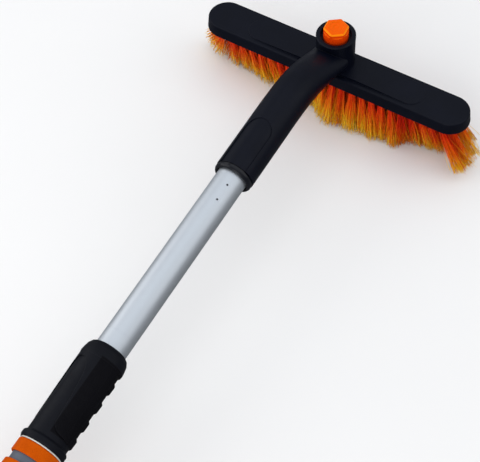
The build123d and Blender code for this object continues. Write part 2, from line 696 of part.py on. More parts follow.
def blade_section(x, width, height):
    """A rounded socket section across the blade."""
    across = Plane(
        origin=blade_plane.from_local_coords((x, 0, SCRAPER_THICKNESS / 2)),
        x_dir=(0, 1, 0), z_dir=blade_plane.x_dir)
    return across * RectangleRounded(width, height, min(width, height) / 2 - 0.1)


def make_scraper_socket():
    """Moulded end that joins the handle tube to the scraper blade."""
    socket = loft([
        socket_section(SOCKET_START, 39.6, 39.6),
        socket_section(SOCKET_START + 27, 39.0, 38.6),
        blade_section(-8, 50, 25),
        blade_section(15, 64, 13),
    ])
    socket -= tube_line * disc(OUTER_TUBE_RADIUS, SOCKET_START - 5, OUTER_TUBE_END)
    return socket - scraper_outline()


def scraper_outline():
    """The blade's flared plan, as a plate on its lower face."""
    tail = SCRAPER_TAIL_HALF_WIDTH
    root = SCRAPER_ROOT_HALF_WIDTH
    edge = SCRAPER_EDGE_HALF_WIDTH
    flare_from = 14.0
    flare_to = 96.0
    flare_middle = (62.0, root + 12.0)
    tang = Polyline(
        (flare_from, -root), (flare_from - 10, -root), (flare_from - 16, -tail),
        (-SCRAPER_TAIL, -tail), (-SCRAPER_TAIL, tail), (flare_from - 16, tail),
        (flare_from - 10, root), (flare_from, root),
    )
    front = Polyline(
        (flare_to, edge), (SCRAPER_LENGTH, edge), (SCRAPER_LENGTH, -edge), (flare_to, -edge))
    side = ThreePointArc((flare_from, root), flare_middle, (flare_to, edge))
    other = ThreePointArc(
        (flare_from, -root), (flare_middle[0], -flare_middle[1]), (flare_to, -edge))
    outline = make_face(Wire([*tang.edges(), side, *front.edges(), other]))
    return blade_plane * extrude(outline, SCRAPER_THICKNESS)


def make_scraper_blade():
    """Scraper blade: bevelled edge, chipping ribs and a hanging hole."""
    blade = scraper_outline()
    bevel = make_face(Polyline(
        (SCRAPER_LENGTH - SCRAPER_BEVEL, SCRAPER_THICKNESS),
        (SCRAPER_LENGTH + 1, SCRAPER_EDGE_THICKNESS),
        (SCRAPER_LENGTH + 1, SCRAPER_THICKNESS + 1),
        (SCRAPER_LENGTH - SCRAPER_BEVEL, SCRAPER_THICKNESS + 1), close=True))
    blade -= blade_plane * extrude(Plane.XZ * bevel, 2 * SCRAPER_EDGE_HALF_WIDTH, both=True)
    rib_side = make_face(Polyline(
        (48, SCRAPER_THICKNESS - 0.5), (90, SCRAPER_THICKNESS - 0.5), (88, SCRAPER_THICKNESS + 3),
        (80, SCRAPER_THICKNESS + 3), close=True))
    for index in range(SCRAPER_RIBS):
        y = (index - (SCRAPER_RIBS - 1) / 2) * 15
        blade += blade_plane * Pos(0, y, 0) * extrude(Plane.XZ * rib_side, 1.5, both=True)
    hole = Pos(HANG_HOLE_X, 0, 0) * disc(HANG_HOLE_RADIUS, -2, SCRAPER_THICKNESS + 2)
    blade -= blade_plane * hole
    for y in (-8, 8):
        blade -= blade_plane * Pos(-10, y, 0) * disc(1.9, -1, SCRAPER_THICKNESS + 1)
    return blade


def make_scraper_screws():
    """Pins of the two screws that hold the blade in its socket."""
    return [
        blade_plane * Pos(-10, y, 0) * disc(1.85, 0, SCRAPER_THICKNESS)
        for y in (-8, 8)
    ]


# -------------------------------------------------------------------- output
nodes = {
    "head_shell": make_head_shell,
    "bristle_block": make_bristle_block,
    "cover_screws": make_cover_screws,
    "pivot_post": make_pivot_post,
    "post_screws": make_post_screws,
    "thrust_washer": make_thrust_washer,
    "retaining_clip": make_retaining_clip,
    "lock_ring": make_lock_ring,
    "pivot_screw": make_pivot_screw,
    "push_button": make_push_button,
    "lock_sleeve": make_lock_sleeve,
    "button_spring": make_button_spring,
    "neck_arm": make_neck_arm,
    "collar_ring": make_collar_ring,
    "sleeve_bead": make_sleeve_bead,
    "sleeve_screws": make_sleeve_screws,
    "inner_tube": make_inner_tube,
    "lock_plug": make_lock_plug,
    "lock_spindle": make_lock_spindle,
    "lock_collet": make_lock_collet,
    "lock_cone": make_lock_cone,
    "outer_tube": make_outer_tube,
    "guide_bush": make_guide_bush,
    "stop_ring": make_stop_ring,
    "front_grip": make_front_grip,
    "trim_washer": make_trim_washer,
    "foam_band_front": lambda: make_foam(FOAM_FRONT_BAND),
    "foam_grip": lambda: make_foam(FOAM_LONG),
    "foam_band_rear": lambda: make_foam(FOAM_REAR_BAND),
    "scraper_socket": make_scraper_socket,
    "scraper_blade": make_scraper_blade,
    "scraper_screws": make_scraper_screws,
}
for row in range(len(ROW_X)):
    nodes[f"bristle_row_{row + 1}"] = lambda row=row: make_bristle_row(row)

os.makedirs("parts", exist_ok=True)
for name, make in nodes.items():
    shape = make()
    pieces = shape if isinstance(shape, list) else shape.solids()
    moved = [solid for piece in pieces for solid in (place * piece).solids()]
    export_step(Compound(children=moved), f"parts/{name}.step")
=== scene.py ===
import json
import math

import bpy
import numpy as np
from mathutils import Euler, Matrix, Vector, noise


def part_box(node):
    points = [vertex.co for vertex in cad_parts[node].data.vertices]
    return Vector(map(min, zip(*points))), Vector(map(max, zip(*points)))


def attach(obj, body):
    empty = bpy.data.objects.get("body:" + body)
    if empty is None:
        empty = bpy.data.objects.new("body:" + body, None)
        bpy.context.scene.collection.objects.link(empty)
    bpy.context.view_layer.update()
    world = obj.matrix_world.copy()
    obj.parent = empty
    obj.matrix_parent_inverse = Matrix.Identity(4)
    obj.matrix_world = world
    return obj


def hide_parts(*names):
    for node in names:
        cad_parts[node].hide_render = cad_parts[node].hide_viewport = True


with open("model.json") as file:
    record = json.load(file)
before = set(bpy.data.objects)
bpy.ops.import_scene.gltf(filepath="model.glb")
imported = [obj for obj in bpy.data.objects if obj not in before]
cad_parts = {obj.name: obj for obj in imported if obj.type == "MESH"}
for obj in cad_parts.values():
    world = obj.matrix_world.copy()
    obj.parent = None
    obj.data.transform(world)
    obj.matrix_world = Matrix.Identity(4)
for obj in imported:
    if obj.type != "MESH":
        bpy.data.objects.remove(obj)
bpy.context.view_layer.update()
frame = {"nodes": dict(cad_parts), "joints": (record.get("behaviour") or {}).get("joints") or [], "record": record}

# A snow brush scraper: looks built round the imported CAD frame. Metres, row frame.
MM = 0.001
SEED = 7

# ------------------------------------------------------------------ the frame
joints = {joint["name"]: joint for joint in frame["joints"]}
PIVOT = Vector(joints["head_swivel"]["pos_m"])
LINE = Vector(joints["twist_lock"]["pos_m"])
ALONG = Vector(joints["tube_slide"]["axis"]).normalized()
SIDE = Vector((0, 1, 0))
UP = ALONG.cross(SIDE)


def turned_axes(angle):
    """The outward and sideways directions at an angle round the tube line, from its top towards +Y."""
    out = UP * math.cos(angle) + SIDE * math.sin(angle)
    across = SIDE * math.cos(angle) - UP * math.sin(angle)
    return out, across


def on_line(position, radius, angle):
    """A point round the tube line: millimetres along it and out from it, at an angle."""
    out, _ = turned_axes(angle)
    return LINE + ALONG * (position * MM) + out * (radius * MM)


# The grip is turned round the tube. Its grained side pads start at PAD_EDGE from its own top,
# and run from PAD_FROM to PAD_TO along the tube line, in metres.
GRIP_TURN = math.radians(-36)
PAD_EDGE = math.radians(50)
PAD_EDGE_BLUR = 0.015
PAD_FROM = 0.389
PAD_TO = 0.4608
PAD_END_BLUR = 0.0007


# -------------------------------------------------------------- node materials
class Finish:
    """A node material with a Principled shader and short ways to add patterns."""

    def __init__(self, name, roughness=0.5, metallic=0.0, specular=0.5):
        self.material = bpy.data.materials.new(name)
        self.material.use_nodes = True
        self.tree = self.material.node_tree
        self.shader = self.tree.nodes["Principled BSDF"]
        self.shader.inputs["Roughness"].default_value = roughness
        self.shader.inputs["Metallic"].default_value = metallic
        self.shader.inputs["Specular IOR Level"].default_value = specular
        coordinates = self.add("ShaderNodeTexCoord")
        self.place = coordinates.outputs["Object"]
        self.facing = coordinates.outputs["Normal"]

    def add(self, kind, **values):
        """A node with some inputs set by name."""
        node = self.tree.nodes.new(kind)
        for name, value in values.items():
            node.inputs[name.replace("_", " ")].default_value = value
        return node

    def join(self, output, target):
        self.tree.links.new(output, target)

    def stretched(self, scale, turn):
        """Object coordinates, turned and then scaled by axis."""
        turned = self.add("ShaderNodeMapping")
        turned.inputs["Rotation"].default_value = turn
        self.join(self.place, turned.inputs["Vector"])
        scaled = self.add("ShaderNodeMapping")
        scaled.inputs["Scale"].default_value = scale
        self.join(turned.outputs["Vector"], scaled.inputs["Vector"])
        return scaled.outputs["Vector"]

    def noise(self, scale, detail=3.0, roughness=0.5, place=None):
        """Cloudy noise; the scale is in cells per metre."""
        node = self.add("ShaderNodeTexNoise", Scale=scale, Detail=detail, Roughness=roughness)
        self.join(place or self.place, node.inputs["Vector"])
        return node.outputs["Fac"]

    def cells(self, scale):
        """Distance from the middle of Voronoi cells; the scale is in cells per metre."""
        node = self.add("ShaderNodeTexVoronoi", Scale=scale)
        self.join(self.place, node.inputs["Vector"])
        return node.outputs["Distance"]

    def ramp(self, factor, *stops):
        """Colours over a factor: stops are (position, (r, g, b))."""
        node = self.add("ShaderNodeValToRGB")
        elements = node.color_ramp.elements
        while len(elements) < len(stops):
            elements.new(0.5)
        for element, (position, colour) in zip(elements, stops):
            element.position = position
            element.color = (*colour, 1)
        self.join(factor, node.inputs["Fac"])
        return node.outputs["Color"]

    def between(self, factor, low, high, from_low=0.0, from_high=1.0):
        """A factor mapped on to another range."""
        node = self.add("ShaderNodeMapRange")
        self.join(factor, node.inputs["Value"])
        node.inputs["From Min"].default_value = from_low
        node.inputs["From Max"].default_value = from_high
        node.inputs["To Min"].default_value = low
        node.inputs["To Max"].default_value = high
        return node.outputs["Result"]

    def combine(self, first, second, operation="ADD"):
        """Two factors put together; the second may be a plain number."""
        node = self.add("ShaderNodeMath")
        node.operation = operation
        self.join(first, node.inputs[0])
        if isinstance(second, float):
            node.inputs[1].default_value = second
        else:
            self.join(second, node.inputs[1])
        return node.outputs["Value"]

    def mix(self, factor, first, second, blend="MIX"):
        """Two colours mixed; each may be an output or a plain colour."""
        node = self.add("ShaderNodeMix")
        node.data_type = "RGBA"
        node.blend_type = blend
        sockets = [node.inputs[0], node.inputs[6], node.inputs[7]]
        for socket, value in zip(sockets, (factor, first, second)):
            if isinstance(value, bpy.types.NodeSocket):
                self.join(value, socket)
            elif isinstance(value, tuple):
                socket.default_value = (*value, 1)
            else:
                socket.default_value = value
        return node.outputs[2]

    def dot(self, first, second):
        """The dot product of a vector with another, or with a fixed axis."""
        node = self.add("ShaderNodeVectorMath")
        node.operation = "DOT_PRODUCT"
        self.join(first, node.inputs[0])
        if isinstance(second, Vector):
            node.inputs[1].default_value = second
        else:
            self.join(second, node.inputs[1])
        return node.outputs["Value"]

    def edges(self, radius):
        """How far a point is on an edge, and the normal of an edge rounded to a radius."""
        bevel = self.add("ShaderNodeBevel", Radius=radius * MM)
        bevel.samples = 6
        rounded = bevel.outputs["Normal"]
        own = self.add("ShaderNodeNewGeometry").outputs["Normal"]
        return self.between(self.dot(rounded, own), 1.0, 0.0, 0.80, 0.995), rounded

    def pad_area(self):
        """1 on the grip's two grained side pads, by angle round the tube and place along it."""
        moved = self.add("ShaderNodeVectorMath")
        moved.operation = "SUBTRACT"
        self.join(self.place, moved.inputs[0])
        moved.inputs[1].default_value = LINE
        top, side = turned_axes(GRIP_TURN)
        angle = self.combine(self.dot(moved.outputs["Vector"], side),
                             self.dot(moved.outputs["Vector"], top), "ARCTAN2")
        away = self.combine(angle, 0.0, "ABSOLUTE")
        inside = self.between(away, 0.0, 1.0, PAD_EDGE - PAD_EDGE_BLUR, PAD_EDGE + PAD_EDGE_BLUR)
        along = self.dot(moved.outputs["Vector"], ALONG)
        start = self.between(along, 0.0, 1.0, PAD_FROM - PAD_END_BLUR, PAD_FROM)
        end = self.between(along, 1.0, 0.0, PAD_TO, PAD_TO + PAD_END_BLUR)
        return self.combine(inside, self.combine(start, end, "MULTIPLY"), "MULTIPLY")

    def bump(self, height, distance, strength, normal=None):
        """A normal bumped by a height; the distance is in millimetres."""
        node = self.add("ShaderNodeBump", Strength=strength, Distance=distance * MM)
        self.join(height, node.inputs["Height"])
        if normal is not None:
            self.join(normal, node.inputs["Normal"])
        return node.outputs["Normal"]

    def finish(self, colour, roughness, normal=None):
        """The material, with its patterns joined to the shader."""
        for name, output in (("Base Color", colour), ("Roughness", roughness), ("Normal", normal)):
            if output is not None:
                self.join(output, self.shader.inputs[name])
        return self.material


def moulded(name, dark, light, edge_highlight, edge_highlight_range, roughness=(0.36, 0.5), specular=0.4, depth=0.03):
    """Moulded plastic: fine spark grain, slow tone changes and lighter edges, a painted highlight broken up by
    noise.
    """
    kit = Finish(name, specular=specular)
    slow = kit.noise(28.0, 4.0, 0.6)
    highlit_edge, rounded = kit.edges(0.5)
    base = kit.ramp(slow, (0.3, dark), (0.72, light))
    highlight_patch = kit.between(kit.noise(190.0, 3.0), *edge_highlight_range, 0.42, 0.7)
    # Edges are lightened in noisy patches: painted highlight along the edges.
    base = kit.mix(kit.combine(highlit_edge, highlight_patch, "MULTIPLY"), base, edge_highlight)
    rough = kit.between(kit.noise(75.0, 5.0, 0.65), *roughness, 0.3, 0.7)
    fine = kit.noise(1400.0, 2.0, 0.6)
    return kit.finish(base, rough, kit.bump(fine, depth, 0.6, rounded))


def black_plastic():
    # The third colour and its range are a painted highlight along the edges; the blue in all three colours is
    # partly a painted sky reflection over the plastic's own black.
    return moulded("black_plastic", (0.0010, 0.0018, 0.0056), (0.0020, 0.0030, 0.0086),
                   (0.021, 0.024, 0.035), (0.35, 0.8), specular=0.12)


def gloss_black():
    # The third colour and its range are a painted highlight along the edges.
    return moulded("gloss_black", (0.003, 0.0034, 0.0060), (0.0045, 0.005, 0.0080),
                   (0.014, 0.015, 0.019), (0.0, 0.3), roughness=(0.16, 0.24), specular=0.24,
                   depth=0.01)


def orange_plastic():
    """Orange moulding with painted light: the colour follows the facing, upward bevels painted paler as if lit and
    upright walls painted deeper as if in shade, with a painted highlight along the edges.
    """
    kit = Finish("orange_plastic", specular=0.05)
    highlit_edge, rounded = kit.edges(0.5)
    # Colour by how the surface faces: painted light on the bevels, painted shade on upright walls and a little on
    # the top.
    split = kit.add("ShaderNodeSeparateXYZ")
    kit.join(kit.facing, split.inputs["Vector"])
    base = kit.ramp(split.outputs["Z"], (0.20, (0.78, 0.050, 0.0003)), (0.50, (1.00, 0.270, 0.0010)),
                    (0.80, (1.00, 0.230, 0.0010)), (0.88, (0.93, 0.114, 0.0005)))
    slow = kit.noise(28.0, 4.0, 0.6)
    tone = kit.ramp(slow, (0.3, (0.93, 0.91, 0.91)), (0.7, (1.0, 1.0, 1.0)))
    base = kit.mix(1.0, base, tone, "MULTIPLY")
    # Edges are lightened in noisy patches: painted highlight.
    edge_highlight_patches = kit.between(kit.noise(190.0, 3.0), 0.5, 0.85, 0.42, 0.7)
    base = kit.mix(kit.combine(highlit_edge, edge_highlight_patches, "MULTIPLY"), base, (1.0, 0.30, 0.0015))
    rough = kit.between(kit.noise(75.0, 5.0, 0.65), 0.34, 0.46, 0.3, 0.7)
    return kit.finish(base, rough, kit.bump(kit.noise(1400.0, 2.0, 0.6), 0.012, 0.6, rounded))


def pale_plastic():
    # The third colour and its range are a painted highlight along the edges.
    return moulded("pale_plastic", (0.62, 0.60, 0.54), (0.76, 0.74, 0.69), (0.82, 0.80, 0.76),
                   (0.0, 0.1), roughness=(0.32, 0.45), depth=0.02)


def grip_rubber():
    """Soft-touch rubber: smooth in the thumb recess, dark and grained on the side pads, with a painted highlight
    along its edges.
    """
    kit = Finish("grip_rubber", specular=0.10)
    highlit_edge, rounded = kit.edges(0.6)
    slow = kit.noise(40.0, 4.0)
    smooth = kit.ramp(slow, (0.3, (0.0026, 0.0030, 0.0054)), (0.75, (0.0044, 0.0050, 0.0082)))
    rough_pad = kit.ramp(slow, (0.3, (0.0009, 0.0008, 0.0019)), (0.75, (0.0016, 0.0014, 0.0030)))
    pad = kit.pad_area()
    base = kit.mix(pad, smooth, rough_pad)
    # Edges are lightened towards a pale grey: painted highlight.
    base = kit.mix(kit.combine(highlit_edge, 0.3, "MULTIPLY"), base, (0.020, 0.021, 0.027))
    rough = kit.combine(kit.between(kit.noise(120.0, 4.0), 0.40, 0.52, 0.3, 0.7),
                        kit.between(pad, 0.0, 0.26))
    leather = kit.combine(kit.cells(620.0), kit.noise(1500.0, 3.0, 0.7))
    depth = kit.combine(leather, kit.between(pad, 0.12, 1.0), "MULTIPLY")
    return kit.finish(base, rough, kit.bump(depth, 0.16, 0.9, rounded))


def orange_foam():
    """Closed-cell foam: matt and pitted, with painted shade darkening its pores."""
    kit = Finish("orange_foam", specular=0.03)
    cells = kit.cells(900.0)
    slow = kit.noise(55.0, 5.0, 0.65)
    base = kit.ramp(slow, (0.25, (0.46, 0.062, 0.0010)), (0.55, (0.55, 0.080, 0.0014)),
                    (0.8, (0.63, 0.100, 0.0020)))
    # Cell middles, where the bump sinks, are darkened: painted shade in the pores.
    pore_shade = kit.between(cells, 0.5, 0.0, 0.05, 0.35)
    base = kit.mix(pore_shade, base, (0.34, 0.040, 0.0008))
    rough = kit.between(slow, 0.82, 0.95, 0.3, 0.7)
    surface = kit.combine(kit.between(cells, 0.0, 1.0, 0.0, 0.5), kit.noise(420.0, 5.0, 0.7))
    return kit.finish(base, rough, kit.bump(surface, 0.12, 0.55))


# Turns the object's coordinates so that their X runs along the tube.
TUBE_TURN = (0, -math.asin(-ALONG.z), 0)


def drawn_tube(name, dark, light, roughness, metallic, specular, streak):
    """Drawn tube: fine lines along it, small changes of tone and a few faint scuffs."""
    kit = Finish(name, metallic=metallic, specular=specular)
    lines = kit.noise(1.0, 4.0, 0.6, kit.stretched((9.0, 1500.0, 1500.0), TUBE_TURN))
    clouds = kit.noise(22.0, 4.0, 0.6)
    tone = kit.combine(kit.between(lines, 0.35, 0.65), kit.between(clouds, -0.15, 0.15))
    base = kit.ramp(tone, (0.25, dark), (0.75, light))
    scuffs = kit.noise(1.0, 5.0, 0.7, kit.stretched((60.0, 420.0, 420.0), TUBE_TURN))
    marks = kit.between(scuffs, 0.0, 0.3, 0.70, 0.76)
    base = kit.mix(marks, base, tuple(channel * 0.8 for channel in dark))
    rough = kit.between(kit.combine(lines, clouds), *roughness, 0.7, 1.3)
    return kit.finish(base, rough, kit.bump(lines, streak, 0.35))


def silver_tube():
    return drawn_tube("silver_tube", (0.505, 0.535, 0.565), (0.58, 0.615, 0.65), (0.42, 0.52),
                      metallic=0.85, specular=0.5, streak=0.02)


def grey_tube():
    return drawn_tube("grey_tube", (0.078, 0.090, 0.115), (0.100, 0.114, 0.142), (0.36, 0.48),
                      metallic=0.0, specular=0.3, streak=0.012)


def steel():
    """Zinc-plated steel with a spangled tone."""
    kit = Finish("steel", metallic=1.0)
    spangle = kit.cells(260.0)
    base = kit.ramp(spangle, (0.1, (0.50, 0.51, 0.54)), (0.6, (0.62, 0.62, 0.60)))
    rough = kit.between(kit.noise(300.0, 4.0), 0.28, 0.45, 0.3, 0.7)
    return kit.finish(base, rough, kit.bump(kit.noise(800.0, 3.0), 0.02, 0.5))


def bristle():
    """Drawn filament: red at the root, the deepest red there being partly painted shade, orange, then yellow at
    the abraded tip.
    """
    kit = Finish("bristle", specular=0.10)
    along = kit.add("ShaderNodeAttribute")
    along.attribute_name = "along"
    tone = kit.add("ShaderNodeAttribute")
    tone.attribute_name = "tone"
    shift = kit.between(tone.outputs["Fac"], -0.34, 0.34)
    # The deep red near the root is partly painted shade among the roots, on top of the filament's own red to
    # yellow.
    base = kit.ramp(
        kit.combine(along.outputs["Fac"], shift),
        (0.00, (0.80, 0.010, 0.0004)),
        (0.24, (0.95, 0.034, 0.0010)),
        (0.50, (1.00, 0.115, 0.0030)),
        (0.72, (1.00, 0.230, 0.0040)),
        (0.86, (1.00, 0.420, 0.0060)),
        (1.00, (1.00, 0.620, 0.0300)),
    )
    speck = kit.combine(kit.between(kit.noise(700.0, 2.0), -0.4, 0.4, 0.3, 0.7), tone.outputs["Fac"])
    shade = kit.ramp(speck, (0.1, (0.68, 0.60, 0.60)), (0.6, (1.0, 1.0, 1.0)))
    base = kit.mix(1.0, base, shade, "MULTIPLY")
    rough = kit.between(tone.outputs["Fac"], 0.52, 0.36)
    return kit.finish(base, rough, kit.bump(kit.noise(2500.0, 2.0), 0.02, 0.4))


FINISHES = {
    "black_plastic": black_plastic(),
    "gloss_black": gloss_black(),
    "orange_plastic": orange_plastic(),
    "pale_plastic": pale_plastic(),
    "grip_rubber": grip_rubber(),
    "orange_foam": orange_foam(),
    "silver_tube": silver_tube(),
    "grey_tube": grey_tube(),
    "steel": steel(),
    "bristle": bristle(),
}
SLOT_OF = {part["node"]: part["material_slot"] for part in frame["record"]["subparts"]}


def dress(piece, slot):
    """Gives a piece the finish of a material slot."""
    piece.data.materials.clear()
    piece.data.materials.append(FINISHES[slot])
    return piece


for node, cad in frame["nodes"].items():
    dress(cad, SLOT_OF[node])


# --------------------------------------------------------------- mesh builders
def new_piece(name, vertices, faces, slot, body, *replaced):
    """A mesh piece with its finish, on its body, in place of CAD nodes."""
    mesh = bpy.data.meshes.new(name)
    mesh.from_pydata(vertices, [], faces)
    mesh.validate()
    mesh.shade_smooth()
    piece = bpy.data.objects.new(name, mesh)
    bpy.context.scene.collection.objects.link(piece)
    dress(piece, slot)
    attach(piece, body)
    if replaced:
        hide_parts(*replaced)
    return piece


# Any direction that no filament runs along.
ACROSS_STRANDS = np.array([0.31, 0.17, 0.186])


def strands(paths, root_radius, tip_radius):
    """Three-sided tapered tubes along many paths: (vertices, faces, share along each path)."""
    count, steps, _ = paths.shape
    run = paths[:, -1] - paths[:, 0]
    run /= np.linalg.norm(run, axis=1, keepdims=True)
    first = np.cross(run, ACROSS_STRANDS)
    first /= np.linalg.norm(first, axis=1, keepdims=True)
    second = np.cross(run, first)
    radii = np.linspace(root_radius, tip_radius, steps)
    corners = []
    for side in range(3):
        angle = 2 * math.pi * side / 3
        out = first * math.cos(angle) + second * math.sin(angle)
        corners.append(paths + out[:, None, :] * radii[None, :, None])
    vertices = np.stack(corners, axis=2).reshape(-1, 3)
    ring = np.arange(count * steps).reshape(count, steps) * 3
    low, high = ring[:, :-1].reshape(-1), ring[:, 1:].reshape(-1)
    quads = [
        np.stack([low + a, low + b, high + b, high + a], axis=1)
        for a, b in ((0, 1), (1, 2), (2, 0))
    ]
    root, tip = ring[:, 0], ring[:, -1]
    caps = [np.stack([root + 2, root + 1, root], axis=1), np.stack([tip, tip + 1, tip + 2], axis=1)]
    faces = [tuple(face) for block in quads + caps for face in block.tolist()]
    share = np.tile(np.repeat(np.linspace(0, 1, steps), 3), count)
    return vertices, faces, share


# -------------------------------------------------------------------- bristles
# Everything here is in millimetres from the pivot: X across the head, Y along it.
ROW_X = (-12.6, -5.2, 5.2, 12.6)
ROW_ROOT_HALF_LENGTH = (124.0, 131.0, 131.0, 124.0)
ROW_END_MARGIN = 3.0
TUFT_PITCH = 10.4
TUFT_RADIUS = 1.8
ROOT_DEPTH = -10.0
BRISTLE_LENGTH = 55.2
FILAMENTS = 110
STEPS = 9
TIP_CLEARANCE = 0.35

# How far the tips of a tuft are carried along the head, and how far out the front tips
# stand, by place along the head: used bristles bend in waves.
LEAN = ((-131, -32), (-121, -20), (-108, -5), (-90, 4), (-60, 8), (-35, 7), (-8, -4), (8, -3),
        (24, 2), (45, 4), (65, 6), (82, 8), (96, 11), (108, 11), (114, 14), (120, 26), (131, 27))
FRONT_TIPS = ((-156, -6), (-144, -2), (-133, 1), (-121, 0.5), (-108, 1.5), (-97, 0.5), (-84, 3),
              (-72, 7), (-60, 7), (-40, 9), (-15, 10), (-5, 21), (8, 25), (20, 21), (36, 19),
              (50, 18), (64, 16), (78, 17), (86, 6), (98, 6), (111, 4), (122, 2), (131, 2),
              (136, 12), (140, 20), (147, 22), (152, 18), (158, 4))

# The rear rows stand upright and the front row bends out in full.
ROW_SHARE = (0.0, 0.22, 0.62, 1.0)
REAR_TIP_X = (-22.0, -10.0, -4.0, 0.0)
TIP_SETBACK = 1.0

# Beyond END_FROM the rear rows lean less, and fewer filaments stray. None reaches further
# along the head than about END_REACH and END_MARGIN together.
END_FROM = 100.0
REAR_END_LEAN = 0.78
END_REACH = 155.4
END_MARGIN = 2.2

# A tuft's filaments spread across and along the head by its place in the tuft, and on the
# -Y side they fan out more where the lean changes fast.
TUFT_SPREAD = (1.7, 2.5)
SPREAD_RANGE = (-0.4, 0.6)
FAN_SPREAD = 0.13
FAN_SPAN = 5.0

# Each filament is scattered about its place, and a share of them stray further.
STRAY_SHARE = 0.2
END_STRAY_SHARE = 0.08
STRAY_SCATTER = 3.2
SCATTER_LIMIT = 1.7
SCATTER_ALONG = 1.5

# Usual differences from tuft to tuft, and from filament to filament.
LEAN_DIFFERENCE = 1.7
FRONT_DIFFERENCE = 0.8
TUFT_LENGTH_DIFFERENCE = 0.5
FILAMENT_LENGTH_DIFFERENCE = 1.3
LEAST_DROP = 10.0
DROOP_RANGE = (0.95, 1.45)
WAVES_RANGE = (0.6, 1.9)
WAVE_SIZE = 0.6
WAVE_GAIN = 1.5
TUFT_TONE = 0.52
TUFT_TONE_DIFFERENCE = 0.11
FILAMENT_TONE_DIFFERENCE = 0.24

# Radii at the root and the tip: whole filaments, and the split hairs at their ends.
FILAMENT_RADII = (0.25, 0.19)
HAIR_RADII = (0.13, 0.07)
HAIRS_START = 0.9


def along_head(y, table):
    """A value from a table of (place along the head, value)."""
    return np.interp(y, *zip(*table))


def tuft_centres(half_length):
    """Tuft places along a row, as they are drilled in the block."""
    half = half_length - ROW_END_MARGIN
    count = int(2 * half / TUFT_PITCH) + 1
    return [(index - (count - 1) / 2) * TUFT_PITCH for index in range(count)]


def tip_reach(row, y, offset, chance):
    """How far each filament of a tuft carries its tip across and along the head."""
    lean = along_head(y, LEAN) + chance.normal(0, LEAN_DIFFERENCE)
    stray_share = STRAY_SHARE
    if abs(y) > END_FROM:
        lean *= REAR_END_LEAN + (1 - REAR_END_LEAN) * ROW_SHARE[row]
        stray_share = END_STRAY_SHARE
    spread = np.array(TUFT_SPREAD) + chance.uniform(*SPREAD_RANGE, 2)
    if y < 0:
        spread[1] += FAN_SPREAD * abs(along_head(y + FAN_SPAN, LEAN) - along_head(y - FAN_SPAN, LEAN))
    loose = np.where(chance.uniform(0, 1, FILAMENTS) < stray_share, STRAY_SCATTER, 1.0)
    scatter = np.clip(chance.normal(0, 1.0, (FILAMENTS, 2)), -SCATTER_LIMIT, SCATTER_LIMIT)
    reach_y = lean + offset[:, 1] * spread[1] + scatter[:, 1] * SCATTER_ALONG * loose
    over = np.maximum(np.abs(y + reach_y) - END_REACH, 0)
    reach_y -= np.sign(reach_y) * (over - END_MARGIN * (1 - np.exp(-over / END_MARGIN)))
    front = along_head(y + reach_y, FRONT_TIPS) + chance.normal(0, FRONT_DIFFERENCE)
    reach_x = REAR_TIP_X[row] + ROW_SHARE[row] * front - ROW_X[row] - TIP_SETBACK
    reach_x += offset[:, 0] * spread[0] + scatter[:, 0] * loose ** 0.4
    return np.stack([reach_x, reach_y], axis=1)


def tuft_paths(row, y, chance):
    """Filament centrelines of one tuft: rooted in the block, drooping and slightly wavy."""
    share = np.linspace(0, 1, STEPS)[None, :, None]
    turn = chance.uniform(0, 2 * math.pi, FILAMENTS)
    out = TUFT_RADIUS * np.sqrt(chance.uniform(0, 1, FILAMENTS))
    offset = np.stack([out * np.cos(turn), out * np.sin(turn)], axis=1)
    reach = tip_reach(row, y, offset, chance)
    length = BRISTLE_LENGTH + chance.normal(0, TUFT_LENGTH_DIFFERENCE)
    length -= np.abs(chance.normal(0, FILAMENT_LENGTH_DIFFERENCE, FILAMENTS))
    drop = np.sqrt(np.maximum(length ** 2 - (reach ** 2).sum(axis=1), LEAST_DROP ** 2))
    depth = np.full((FILAMENTS, 1), ROOT_DEPTH)
    root = np.concatenate([np.array([[ROW_X[row], y]]) + offset, depth], axis=1)
    travel = np.concatenate([reach, -drop[:, None]], axis=1)
    line = root[:, None, :] + travel[:, None, :] * share
    droop = chance.uniform(*DROOP_RANGE, (FILAMENTS, 1, 1))
    line[:, :, :2] += reach[:, None, :] * (share ** droop - share)
    start = chance.uniform(0, 2 * math.pi, (FILAMENTS, 1, 1))
    waves = chance.uniform(*WAVES_RANGE, (FILAMENTS, 1, 1))
    bend = chance.normal(0, WAVE_SIZE, (FILAMENTS, 1, 2))
    line[:, :, :2] += np.sin(2 * math.pi * share * waves + start) * bend * share * WAVE_GAIN
    return line


def row_paths(row, chance):
    """Filament centrelines of one row, with the tone of each from 0 to 1."""
    paths, tones = [], []
    for y in tuft_centres(ROW_ROOT_HALF_LENGTH[row]):
        paths.append(tuft_paths(row, y, chance))
        tuft_tone = TUFT_TONE + chance.normal(0, TUFT_TONE_DIFFERENCE)
        tones.append(np.clip(chance.normal(tuft_tone, FILAMENT_TONE_DIFFERENCE, FILAMENTS), 0, 1))
    return np.concatenate(paths), np.concatenate(tones)


def split_ends(paths, chance):
    """Short fine hairs that stand off the filament tips."""
    tips = paths[:, -2:]
    step = tips[:, 1] - tips[:, 0]
    start = tips[:, 0] + step * chance.uniform(0.2, 0.8, (len(paths), 1))
    end = start + step * chance.uniform(0.5, 0.9, (len(paths), 1))
    end[:, :2] += chance.normal(0, 1.0, (len(paths), 2))
    middle = (start + end) / 2 + step * 0.04
    return np.stack([start, middle, end], axis=1)


